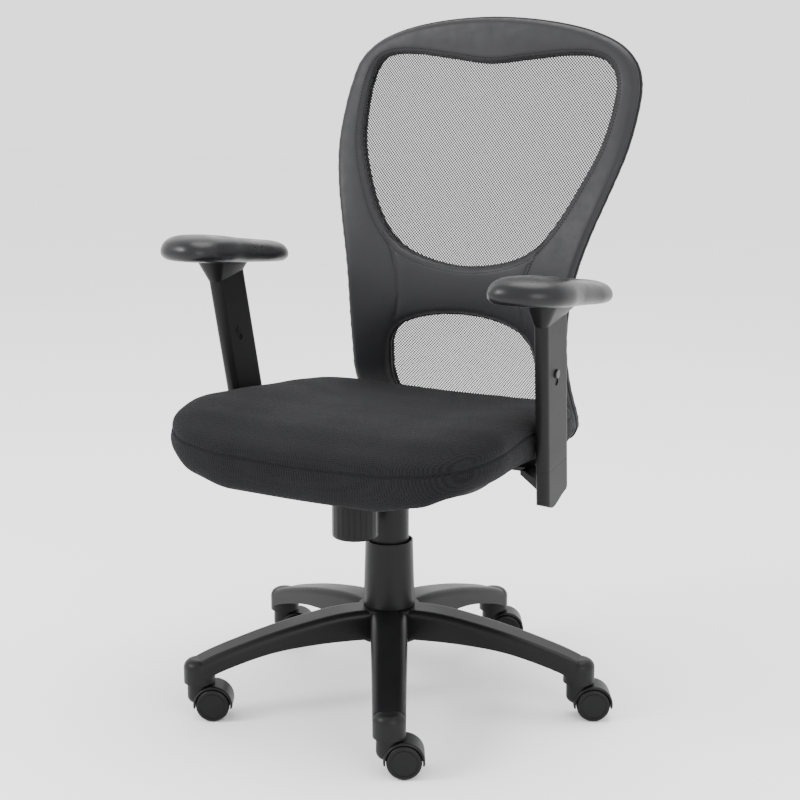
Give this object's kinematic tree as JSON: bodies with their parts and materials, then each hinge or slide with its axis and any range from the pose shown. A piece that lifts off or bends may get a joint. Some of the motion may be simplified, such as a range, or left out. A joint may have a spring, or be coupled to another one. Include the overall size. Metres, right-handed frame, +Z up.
{
  "type": "office chair",
  "caption": "Swivel office chair: mesh back in a padded frame, black mesh-fabric seat, height-adjustable T arms, gas lift, tilt mechanism, star base on twin-wheel casters.",
  "frame": {"origin": "on the floor, under the middle of the chair's bounding box", "axes": "+Z up, the chair faces -Y, +X is the sitter's left"},
  "size_m": [0.6787, 0.6389, 1.026],
  "materials": {
    "nylon_base": "fine sand-blast texture, low sheen",
    "black_steel": "satin black powder coat",
    "bush_plastic": "natural nylon",
    "sleeve_plastic": "fine texture, low sheen",
    "ground_steel": "ground and oiled",
    "spring_steel": "oiled spring wire",
    "knob_plastic": "fine texture",
    "plywood": "raw birch plywood",
    "seat_fabric": "spacer mesh fabric, fine dotted texture",
    "frame_plastic": "fine texture",
    "back_cover": "smooth low-sheen charcoal leathercloth",
    "back_mesh": "open woven mesh, half see-through",
    "arm_plastic": "fine texture, satin",
    "button_plastic": "satin gloss",
    "pad_rubber": "soft integral-skin foam, satin",
    "caster_plastic": "moulded nylon",
    "wheel_plastic": "moulded nylon"
  },
  "bodies": {
    "base": {"base_star": "nylon_base", "outer_tube": "black_steel", "guide_bush": "bush_plastic", "lower_sleeve": "sleeve_plastic"},
    "rod": {"piston_rod": "ground_steel"},
    "column": {"pressure_tube": "black_steel", "upper_sleeve": "sleeve_plastic", "mechanism_housing": "black_steel", "tilt_shaft": "ground_steel", "tension_spring": "spring_steel"},
    "release_pin": {"release_pin": "ground_steel"},
    "knob": {"tension_knob": "knob_plastic", "tension_bolt": "ground_steel"},
    "lever_pivot": {"lever_bush": "bush_plastic"},
    "lever": {"lever_rod": "ground_steel", "lever_paddle": "knob_plastic"},
    "seat_and_back": {"seat_plate": "black_steel", "seat_pan": "plywood", "seat_cushion": "seat_fabric", "m6_screws": "ground_steel", "back_bracket": "black_steel", "back_frame": "frame_plastic", "back_cover": "back_cover", "mesh_upper": "back_mesh", "mesh_lower": "back_mesh", "arm_bracket_left": "black_steel", "arm_bracket_right": "black_steel", "arm_cover_left": "arm_plastic", "arm_cover_right": "arm_plastic"},
    "arm_left": {"arm_sleeve_left": "arm_plastic", "arm_pad_left": "pad_rubber"},
    "button_left": {"arm_button_left": "button_plastic"},
    "arm_right": {"arm_sleeve_right": "arm_plastic", "arm_pad_right": "pad_rubber"},
    "button_right": {"arm_button_right": "button_plastic"},
    "caster_1": {"caster_1_body": "caster_plastic", "caster_1_stem": "ground_steel", "caster_1_axle": "ground_steel"},
    "wheel_1_near": {"caster_1_wheel_near": "wheel_plastic"},
    "wheel_1_far": {"caster_1_wheel_far": "wheel_plastic"},
    "caster_2": {"caster_2_body": "caster_plastic", "caster_2_stem": "ground_steel", "caster_2_axle": "ground_steel"},
    "wheel_2_near": {"caster_2_wheel_near": "wheel_plastic"},
    "wheel_2_far": {"caster_2_wheel_far": "wheel_plastic"},
    "caster_3": {"caster_3_body": "caster_plastic", "caster_3_stem": "ground_steel", "caster_3_axle": "ground_steel"},
    "wheel_3_near": {"caster_3_wheel_near": "wheel_plastic"},
    "wheel_3_far": {"caster_3_wheel_far": "wheel_plastic"},
    "caster_4": {"caster_4_body": "caster_plastic", "caster_4_stem": "ground_steel", "caster_4_axle": "ground_steel"},
    "wheel_4_near": {"caster_4_wheel_near": "wheel_plastic"},
    "wheel_4_far": {"caster_4_wheel_far": "wheel_plastic"},
    "caster_5": {"caster_5_body": "caster_plastic", "caster_5_stem": "ground_steel", "caster_5_axle": "ground_steel"},
    "wheel_5_near": {"caster_5_wheel_near": "wheel_plastic"},
    "wheel_5_far": {"caster_5_wheel_far": "wheel_plastic"}
  },
  "joints": [
    {"name": "swivel", "type": "hinge", "parent": "base", "child": "rod", "pos_m": [-0.005, -0.038, 0.1], "axis": [0, 0, 1], "continuous": true},
    {"name": "height", "type": "slide", "parent": "rod", "child": "column", "axis": [0, 0, 1], "range_m": [0, 0.09]},
    {"name": "release", "type": "slide", "parent": "column", "child": "release_pin", "axis": [0, 0, 1], "range_m": [-0.0032, 0], "stiffness_N_per_m": 400, "springref_m": 0.002},
    {"name": "tension", "type": "hinge", "parent": "column", "child": "knob", "pos_m": [-0.005, -0.138, 0.3], "axis": [0, 0, 1], "continuous": true},
    {"name": "lever_lift", "type": "hinge", "parent": "column", "child": "lever_pivot", "pos_m": [-0.035, -0.038, 0.359], "axis": [0, 1, 0], "range_deg": [0, 6], "stiffness_Nm_per_rad": 1.5, "springref_deg": -14.32},
    {"name": "lever_pull", "type": "slide", "parent": "lever_pivot", "child": "lever", "axis": [-1, 0, 0], "range_m": [0, 0.01]},
    {"name": "tilt", "type": "hinge", "parent": "column", "child": "seat_and_back", "pos_m": [-0.005, -0.078, 0.36], "axis": [-1, 0, 0], "range_deg": [0, 12], "stiffness_Nm_per_rad": 170, "springref_deg": -11.46},
    {"name": "arm_height_left", "type": "slide", "parent": "seat_and_back", "child": "arm_left", "axis": [0.05, -0.1712, 0.984], "range_m": [0, 0.07]},
    {"name": "arm_button_left", "type": "slide", "parent": "arm_left", "child": "button_left", "axis": [-0.9987, 0, 0.0507], "range_m": [0, 0.0025], "stiffness_N_per_m": 300, "springref_m": -0.002},
    {"name": "arm_height_right", "type": "slide", "parent": "seat_and_back", "child": "arm_right", "axis": [-0.05, -0.1712, 0.984], "range_m": [-0.024, 0.046]},
    {"name": "arm_button_right", "type": "slide", "parent": "arm_right", "child": "button_right", "axis": [0.9987, 0, 0.0507], "range_m": [0, 0.0025], "stiffness_N_per_m": 300, "springref_m": -0.002},
    {"name": "caster_1_swivel", "type": "hinge", "parent": "base", "child": "caster_1", "pos_m": [0.144, -0.29608, 0.06], "axis": [0, 0, 1], "continuous": true},
    {"name": "wheel_1_near_spin", "type": "hinge", "parent": "caster_1", "child": "wheel_1_near", "pos_m": [0.16184, -0.28578, 0.025], "axis": [-0.5, 0.866, 0], "continuous": true},
    {"name": "wheel_1_far_spin", "type": "hinge", "parent": "caster_1", "child": "wheel_1_far", "pos_m": [0.16184, -0.28578, 0.025], "axis": [-0.5, 0.866, 0], "continuous": true},
    {"name": "caster_2_swivel", "type": "hinge", "parent": "base", "child": "caster_2", "pos_m": [0.28649, 0.02396, 0.06], "axis": [0, 0, 1], "continuous": true},
    {"name": "wheel_2_near_spin", "type": "hinge", "parent": "caster_2", "child": "wheel_2_near", "pos_m": [0.30433, 0.03426, 0.025], "axis": [-0.5, 0.866, 0], "continuous": true},
    {"name": "wheel_2_far_spin", "type": "hinge", "parent": "caster_2", "child": "wheel_2_far", "pos_m": [0.30433, 0.03426, 0.025], "axis": [-0.5, 0.866, 0], "continuous": true},
    {"name": "caster_3_swivel", "type": "hinge", "parent": "base", "child": "caster_3", "pos_m": [0.02615, 0.25837, 0.06], "axis": [0, 0, 1], "continuous": true},
    {"name": "wheel_3_near_spin", "type": "hinge", "parent": "caster_3", "child": "wheel_3_near", "pos_m": [0.04399, 0.26867, 0.025], "axis": [-0.5, 0.866, 0], "continuous": true},
    {"name": "wheel_3_far_spin", "type": "hinge", "parent": "caster_3", "child": "wheel_3_far", "pos_m": [0.04399, 0.26867, 0.025], "axis": [-0.5, 0.866, 0], "continuous": true},
    {"name": "caster_4_swivel", "type": "hinge", "parent": "base", "child": "caster_4", "pos_m": [-0.27724, 0.08321, 0.06], "axis": [0, 0, 1], "continuous": true},
    {"name": "wheel_4_near_spin", "type": "hinge", "parent": "caster_4", "child": "wheel_4_near", "pos_m": [-0.2594, 0.09351, 0.025], "axis": [-0.5, 0.866, 0], "continuous": true},
    {"name": "wheel_4_far_spin", "type": "hinge", "parent": "caster_4", "child": "wheel_4_far", "pos_m": [-0.2594, 0.09351, 0.025], "axis": [-0.5, 0.866, 0], "continuous": true},
    {"name": "caster_5_swivel", "type": "hinge", "parent": "base", "child": "caster_5", "pos_m": [-0.2044, -0.25946, 0.06], "axis": [0, 0, 1], "continuous": true},
    {"name": "wheel_5_near_spin", "type": "hinge", "parent": "caster_5", "child": "wheel_5_near", "pos_m": [-0.18656, -0.24916, 0.025], "axis": [-0.5, 0.866, 0], "continuous": true},
    {"name": "wheel_5_far_spin", "type": "hinge", "parent": "caster_5", "child": "wheel_5_far", "pos_m": [-0.18656, -0.24916, 0.025], "axis": [-0.5, 0.866, 0], "continuous": true}
  ],
  "couplings": [
    {"joint": "release", "follows": "lever_lift", "m_per_rad": -0.0305}
  ]
}
